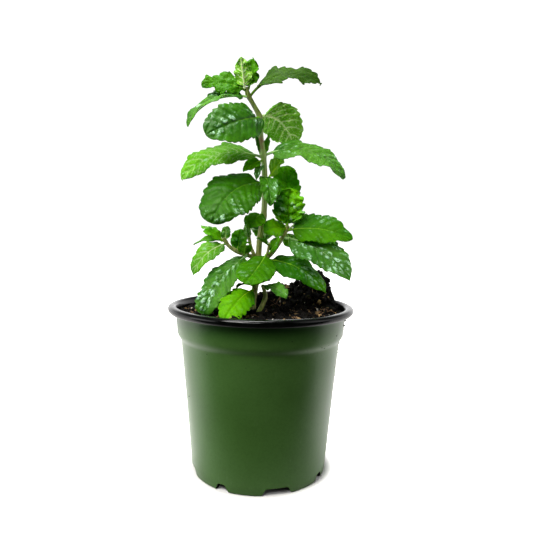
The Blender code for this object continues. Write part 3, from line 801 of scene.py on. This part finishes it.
def circle(radius, spokes):
    """Evenly spaced angles and points round the axis."""
    angles = [math.tau * q / spokes for q in range(spokes)]
    return [(a, radius * math.cos(a), radius * math.sin(a)) for a in angles]


def capped(rows, spokes):
    """Faces of rings of points between a first and a last point on the axis."""
    faces = [(0, 1 + q, 1 + (q + 1) % spokes) for q in range(spokes)]
    faces += grid_faces(rows, spokes, 1, close=True, flip=True)
    end, last = 1 + (rows - 1) * spokes, 1 + rows * spokes
    return faces + [(last, end + (q + 1) % spokes, end + q) for q in range(spokes)]


def soil_bed(material):
    """The lumpy surface, closed below by a plug inside the pot."""
    rings, spokes = ((64, 200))
    points = [(0, 0, soil_height(0, 0))]
    for k in range(1, rings + 1):
        points += [(x, y, soil_height(x, y)) for _, x, y in circle(SOIL_R * k / rings, spokes)]
    sides = [(COLLAR_LOW_R - WALL - 0.6, COLLAR_LOW_Z), (STEP_R - WALL - 1.4, STEP_Z - 2), (PLUG_R, PLUG_Z)]
    for radius, z in sides:
        points += [(x, y, z) for _, x, y in circle(radius, spokes)]
    points.append((0, 0, PLUG_Z))
    faces = capped(rings + len(sides), spokes)
    mesh_object("soil_bed", points, faces, [material], "soil", {"shade": [0.5] * len(points)})


def unit_ball():
    """Points and faces of a round ball of radius 1."""
    mesh = bpy.data.meshes.new("ball")
    shape = bmesh.new()
    bmesh.ops.create_icosphere(shape, subdivisions=2, radius=1)
    shape.to_mesh(mesh)
    shape.free()
    points = np.array([v.co for v in mesh.vertices])
    faces = np.array([list(p.vertices) for p in mesh.polygons])
    bpy.data.meshes.remove(mesh)
    return points, faces


def clod(ball, where, size, jag, rng):
    """A ball stretched, turned and roughened."""
    stretch = rng.uniform(0.55, 1.25, 3) * size
    turn = Matrix.Rotation(rng.uniform(0, math.tau), 3, Vector(rng.normal(size=3)))
    shift = rng.uniform(0, 50, 3)
    swell = np.array([1 + jag * noise.noise(Vector(p * 1.3 + shift)) for p in ball])
    return (ball * swell[:, None] * stretch) @ np.array(turn).T + np.array(where)


def scatter(name, spots, ball, material, rng):
    """One piece made of many clods; each spot gives place, size, roughness and tone."""
    ball_points, ball_faces = ball
    count = len(ball_points)
    points = [clod(ball_points, where, size, jag, rng) for where, size, jag, _ in spots]
    faces = np.vstack([ball_faces + k * count for k in range(len(spots))])
    shade = np.repeat([tone for _, _, _, tone in spots], count)
    mesh_object(name, np.vstack(points), faces, [material], None, {"shade": shade})


def anywhere(inset, rng):
    """A random place on the soil, at least the inset from its edge."""
    r, a = (SOIL_R - inset) * math.sqrt(rng.uniform()), rng.uniform(0, math.tau)
    return r * math.cos(a), r * math.sin(a)


def crumb_spots(rng):
    """Crumbs all over the soil, larger on the mounds."""
    spots = []
    while len(spots) < CRUMBS:
        x, y = anywhere(0.8, rng)
        tall = soil_top(x, y) - SOIL_Z > 4
        if tall or rng.uniform() < 0.8:
            size = min(2.3, 0.3 + rng.exponential(0.42)) * (1.35 if tall else 1.0)
            spots.append(((x, y, soil_height(x, y) + 0.25 * size), size, 0.9, rng.uniform()))
    return spots


def perlite_spots(rng):
    """The placed grains of perlite and some more at random."""
    grains = GRAINS + [(*anywhere(2, rng), rng.uniform(0.3, 0.75)) for _ in range(PERLITE)]
    return [((x, y, soil_height(x, y) + 0.6 * size), size, 0.7, 0.5) for x, y, size in grains]


def speck_spots():
    """Crumbs on the pot's outer wall."""
    heights = [0, STEP_Z, COLLAR_LOW_Z - 1, COLLAR_LOW_Z, COLLAR_TOP_Z]
    radii = [FOOT_R + 0.9, STEP_R, COLLAR_LOW_R - 0.4, COLLAR_LOW_R, COLLAR_TOP_R]
    spots = []
    for angle, z, size in SPECKS:
        r, a = float(np.interp(z, heights, radii)), math.radians(angle)
        spots.append(((r * math.cos(a), r * math.sin(a), z), size, 0.8, 0.2 + 0.05 * (z % 7)))
    return spots


def fibres(material, rng):
    """Root fibres that arch over the soil."""
    points, faces = [], []
    for _ in range(FIBRES):
        x, y = anywhere(5, rng)
        turn, long = rng.uniform(0, math.tau), rng.uniform(2.5, 7)
        curve = rng.uniform(-0.8, 0.8)
        path = []
        for q in np.linspace(-0.5, 0.5, 7):
            px = x + long * q * math.cos(turn + curve * q)
            py = y + long * q * math.sin(turn + curve * q)
            path.append((px, py, soil_height(px, py) + 0.55 + 1.2 * rng.uniform(0, 0.5) * (1 - 4 * q * q)))
        radii = rng.uniform(0.16, 0.42) * np.array([0.4, 0.9, 1, 1, 1, 0.8, 0.3])
        more, joined = tube(path, radii, 7, lambda q: 1 + 0.3 * np.cos(2 * q), len(points))
        points += list(more)
        faces += joined
    mesh_object("soil_fibres", points, faces, [material])


def soil_pieces():
    crumb = soil_material("soil_crumb", linear(2, 2, 1), linear(19, 13, 8), linear(176, 144, 98), 0.09)
    soil_bed(soil_material("soil_dark", linear(1, 1, 0), linear(10, 7, 4), linear(52, 38, 25), 0.15))
    rng = np.random.default_rng(7)
    ball = unit_ball()
    scatter("soil_crumbs", crumb_spots(rng), ball, crumb, rng)
    perlite = plain_grain("perlite", linear(226, 220, 206), linear(192, 180, 160), 0.85, 700)
    scatter("soil_perlite", perlite_spots(rng), ball, perlite, rng)
    scatter("soil_specks", speck_spots(), ball, crumb, rng)
    fibres(plain_grain("fibre", linear(120, 90, 58), linear(66, 46, 28), 0.8, 900), rng)


# ---------------------------------------------------------------- pot


def pot_profile():
    """Inner, outer and lower outline: floor's centre, up the inside, over the lip, down to the foot."""
    inside, lip = COLLAR_TOP_R - WALL, POT_H - LIP_H
    inner = [(0, FLOOR_Z + WALL), (FOOT_R - 6, FLOOR_Z + WALL), (FOOT_R - 3, FLOOR_Z + WALL + 0.8)]
    inner += [(FOOT_R - 0.9, FLOOR_Z + WALL + 3.5), (FOOT_R + 2.6, 42), (STEP_R - WALL - 0.9, 72)]
    inner += [(STEP_R - WALL, STEP_Z + 0.3), (STEP_R - WALL + 0.9, STEP_Z + 1.7)]
    inner += [(COLLAR_LOW_R - WALL, COLLAR_LOW_Z + 0.5), (inside, 97.5), (inside + 0.3, POT_H - 1.4)]
    inner += [(inside + 1.0, POT_H - 0.4), (inside + 2.0, POT_H), (RIM_R - 1.4, POT_H - 0.2)]
    inner += [(RIM_R - 0.4, POT_H - 0.8), (RIM_R, POT_H - 1.8), (RIM_R - 0.2, POT_H - 3.2)]
    inner += [(RIM_R - 0.9, lip), (RIM_R - 1.8, lip + 0.1), (RIM_R - 2.4, POT_H - 2.6)]
    outer = [(COLLAR_TOP_R + 0.7, POT_H - 2.6), (COLLAR_TOP_R, POT_H - 3.6)]
    outer += [(COLLAR_TOP_R - 0.35, COLLAR_TOP_Z), (COLLAR_LOW_R, COLLAR_LOW_Z)]
    outer += [(COLLAR_LOW_R - 0.5, COLLAR_LOW_Z - 1.6)]
    outer += [(STEP_R + 1.0, STEP_Z + 1.5), (STEP_R + 0.15, STEP_Z + 0.2), (STEP_R - 0.15, STEP_Z - 0.8)]
    outer += [(STEP_R - 1.0, 72), (FOOT_R + 3.9, 42), (FOOT_R + 0.9, 6)]
    outer += [(FOOT_R + 0.3, 1.2), (FOOT_R - 0.2, 0.3), (FOOT_R - 0.9, 0)]
    under = [(FOOT_R - 2.9, 0), (FOOT_R - 3.4, 0.9), (FOOT_R - 4.2, FLOOR_Z - 0.8), (FOOT_R - 5.0, FLOOR_Z)]
    return inner, outer, under + [(0, FLOOR_Z)]


def notch_block(index, materials):
    """A block across the foot ring, wider at the floor than at its top."""
    width = NOTCH_WIDTHS[index % 2]
    angle = math.radians(NOTCH_FIRST + 360 / NOTCHES * index)
    half, low = width / 2, width / 2 + NOTCH_FLARE * (NOTCH_H + 3) / NOTCH_H
    outline = [(-low, -3), (low, -3), (half + 0.5, NOTCH_H - 0.7), (half - 0.3, NOTCH_H - 0.15)]
    outline += [(half - 1.2, NOTCH_H)]
    outline += [(-x, z) for x, z in outline[:1:-1]]
    n = len(outline)
    points = [(x * MM, y * MM, z * MM) for y in (-5, 5) for x, z in outline]
    faces = [tuple(range(n)), tuple(range(2 * n - 1, n - 1, -1))]
    faces += [(i, n + i, n + (i + 1) % n, (i + 1) % n) for i in range(n)]
    mesh = bpy.data.meshes.new("notch")
    mesh.from_pydata(points, [], faces)
    for material in materials:
        mesh.materials.append(material)
    mesh.polygons.foreach_set("material_index", [BLACK] * len(faces))
    obj = bpy.data.objects.new("notch", mesh)
    obj.location = (FOOT_R * MM * math.cos(angle), FOOT_R * MM * math.sin(angle), 0)
    obj.rotation_euler = (0, 0, angle + math.pi / 2)
    return obj


def cut_notches(pot, materials):
    """Take the notches out of the foot ring."""
    knives = bpy.data.collections.new("knives")
    for index in range(NOTCHES):
        knives.objects.link(notch_block(index, materials))
    bpy.context.scene.collection.children.link(knives)
    cut = pot.modifiers.new("cut", "BOOLEAN")
    cut.operation, cut.solver, cut.operand_type, cut.collection = "DIFFERENCE", "EXACT", "COLLECTION", knives
    bpy.context.view_layer.update()
    done = bpy.data.meshes.new_from_object(pot.evaluated_get(bpy.context.evaluated_depsgraph_get()))
    pot.modifiers.clear()
    pot.data = done
    for block in list(knives.objects):
        bpy.data.objects.remove(block)
    bpy.data.collections.remove(knives)
    done.set_sharp_from_angle(angle=math.radians(40))


def pot_piece():
    """The pot: its outline turned round the axis, green outside and black on the lip, inside and floor."""
    materials = [pot_green_material(), pot_black_material()]
    inner, outer, under = pot_profile()
    whole = inner + outer + under
    outline, tones = [], []
    for k, (a, b) in enumerate(zip(whole, whole[1:])):
        steps = max(1, min(10, int(math.dist(a, b) / 4)))
        green = len(inner) - 1 <= k < len(inner) + len(outer) - 1
        outline += [(a[0] + (b[0] - a[0]) * q / steps, a[1] + (b[1] - a[1]) * q / steps) for q in range(steps)]
        tones += [GREEN if green else BLACK] * steps
    outline, tones = outline[1:], tones[1:]
    spokes = 288
    points = [(0, 0, FLOOR_Z + WALL)]
    for r, z in outline:
        for a, x, y in circle(r, spokes):
            wobble = 1 + 0.0014 * math.sin(3 * a + 0.7) + 0.0007 * math.sin(5 * a + z * 0.05)
            points.append((x * wobble, y * wobble, z))
    points.append((0, 0, FLOOR_Z))
    slots = [BLACK] * spokes + [tone for tone in tones[:-1] for _ in range(spokes)] + [BLACK] * spokes
    faces = capped(len(outline), spokes)
    pot = mesh_object("pot_shell", points, faces, materials, "pot", None, slots)
    cut_notches(pot, materials)


def build():
    finishes = {name: leaf_material(name) for name in FINISHES}
    for index, (name, row) in enumerate(LEAVES.items()):
        leaf_piece(name, Leaf(*row), LOOKS[name], finishes, index)
    skin = stem_material()
    for name in STEMS:
        stem_piece(name, skin)
    soil_pieces()
    pot_piece()


# ---------------------------------------------------------------- studio


def camera(scene):
    """The photo's viewpoint, in front of the pot and a little above it."""
    seen_by = bpy.data.objects.new("camera", bpy.data.cameras.new("camera"))
    scene.collection.objects.link(seen_by)
    seen_by.data.lens = 35.4
    seen_by.data.clip_start = 0.01
    pitch, yaw, roll = math.radians(4.6), math.radians(1.7), math.radians(1.0)
    look = Vector((math.sin(yaw) * math.cos(pitch), math.cos(yaw) * math.cos(pitch), -math.sin(pitch)))
    right = Vector((math.cos(yaw), -math.sin(yaw), 0))
    up = right.cross(look)
    right, up = right * math.cos(roll) + up * math.sin(roll), up * math.cos(roll) - right * math.sin(roll)
    turn = Matrix((right, up, -look)).transposed().to_4x4()
    seen_by.matrix_world = Matrix.Translation((-0.0065, -0.323, 0.152)) @ turn
    scene.camera = seen_by


def white_world(scene):
    """White to the camera; to the object, bright from behind and dark in front and above."""
    world = bpy.data.worlds.new("tent")
    scene.world = world
    world.use_nodes = True
    nodes, links = world.node_tree.nodes, world.node_tree.links
    split = nodes.new("ShaderNodeSeparateXYZ")
    links.new(nodes.new("ShaderNodeTexCoord").outputs["Generated"], split.inputs[0])

    def ramp(axis, low, high, to_low, to_high):
        node = nodes.new("ShaderNodeMapRange")
        node.interpolation_type = "SMOOTHSTEP"
        for key, number in (("From Min", low), ("From Max", high), ("To Min", to_low), ("To Max", to_high)):
            node.inputs[key].default_value = number
        links.new(split.outputs[axis], node.inputs["Value"])
        return node.outputs["Result"]

    both = nodes.new("ShaderNodeMath")
    both.operation = "MULTIPLY"
    links.new(ramp("Y", -0.6, 0.0, 0.005, 1.6), both.inputs[0])
    links.new(ramp("Z", 0.15, 0.6, 1.0, 0.08), both.inputs[1])
    back = nodes["Background"]
    back.inputs["Color"].default_value = (1, 1, 1, 1)
    links.new(both.outputs[0], back.inputs["Strength"])
    seen = nodes.new("ShaderNodeBackground")
    seen.inputs["Color"].default_value = (1, 1, 1, 1)
    seen.inputs["Strength"].default_value = 1.1
    either = nodes.new("ShaderNodeMixShader")
    links.new(nodes.new("ShaderNodeLightPath").outputs["Is Camera Ray"], either.inputs["Fac"])
    links.new(back.outputs[0], either.inputs[1])
    links.new(seen.outputs[0], either.inputs[2])
    links.new(either.outputs[0], nodes["World Output"].inputs["Surface"])


# Lights: place, height they aim at on the axis, size, watts, colour
LIGHTS = {
    "key": ((-0.45, -0.55, 0.95), 0.15, (0.4, 0.4), 11.0, (1, 0.985, 0.95)),
    "top": ((-0.1, 0.1, 1.1), 0.12, (0.4, 0.4), 8.5, (1, 1, 1)),
    "front": ((-0.25, -0.95, 0.85), 0.17, (0.5, 0.3), 3.6, (1, 1, 1)),
    "left": ((-0.8, -0.25, 0.22), 0.09, (0.5, 0.5), 1.6, (1, 1, 1)),
    "fill": ((0.75, -0.35, 0.5), 0.12, (0.5, 0.7), 1.0, (1, 1, 1)),
}


def lights(scene):
    for name, (place, aim, size, power, colour) in LIGHTS.items():
        light = bpy.data.lights.new(name, "AREA")
        light.shape = "RECTANGLE"
        light.size, light.size_y = size
        light.energy = power
        light.color = colour
        obj = bpy.data.objects.new(name, light)
        scene.collection.objects.link(obj)
        obj.location = place
        obj.rotation_euler = (Vector((0, 0, aim)) - Vector(place)).to_track_quat("-Z", "Y").to_euler()


def white_floor(scene):
    """White paper to the camera; to the pot, paper that darkens toward the camera and under its foot."""
    mesh = bpy.data.meshes.new("floor")
    mesh.from_pydata([(-4, -4, 0), (4, -4, 0), (4, 4, 0), (-4, 4, 0)], [], [(0, 1, 2, 3)])
    floor = bpy.data.objects.new("floor", mesh)
    scene.collection.objects.link(floor)
    t = Tree("floor_white")
    camera_ray = t.nodes.new("ShaderNodeLightPath").outputs["Is Camera Ray"]
    front = t.remap(t.axis("Y"), -0.09, 0.01, 0.01, 1.0)
    reach = t.nodes.new("ShaderNodeVectorMath")
    reach.operation = "LENGTH"
    t.put(reach.inputs[0], t.object)
    clear = t.remap(reach.outputs["Value"], 0.041, 0.050)
    paper = t.mix(t.math("MAXIMUM", camera_ray, front), linear(30, 30, 30), linear(252, 251, 249))
    glow = t.math("ADD", t.math("MULTIPLY", camera_ray, 0.8), t.math("MULTIPLY", front, 0.5))
    shine = {"Emission_Color": (1, 0.995, 0.97), "Emission_Strength": t.math("MULTIPLY", glow, clear)}
    mesh.materials.append(t.finish(paper, 0.7, Specular_IOR_Level=0.0, **shine))


def studio():
    scene = bpy.context.scene
    camera(scene)
    white_world(scene)
    lights(scene)
    white_floor(scene)
    scene.view_settings.view_transform = "Standard"


build()
studio()
bpy.context.view_layer.update()
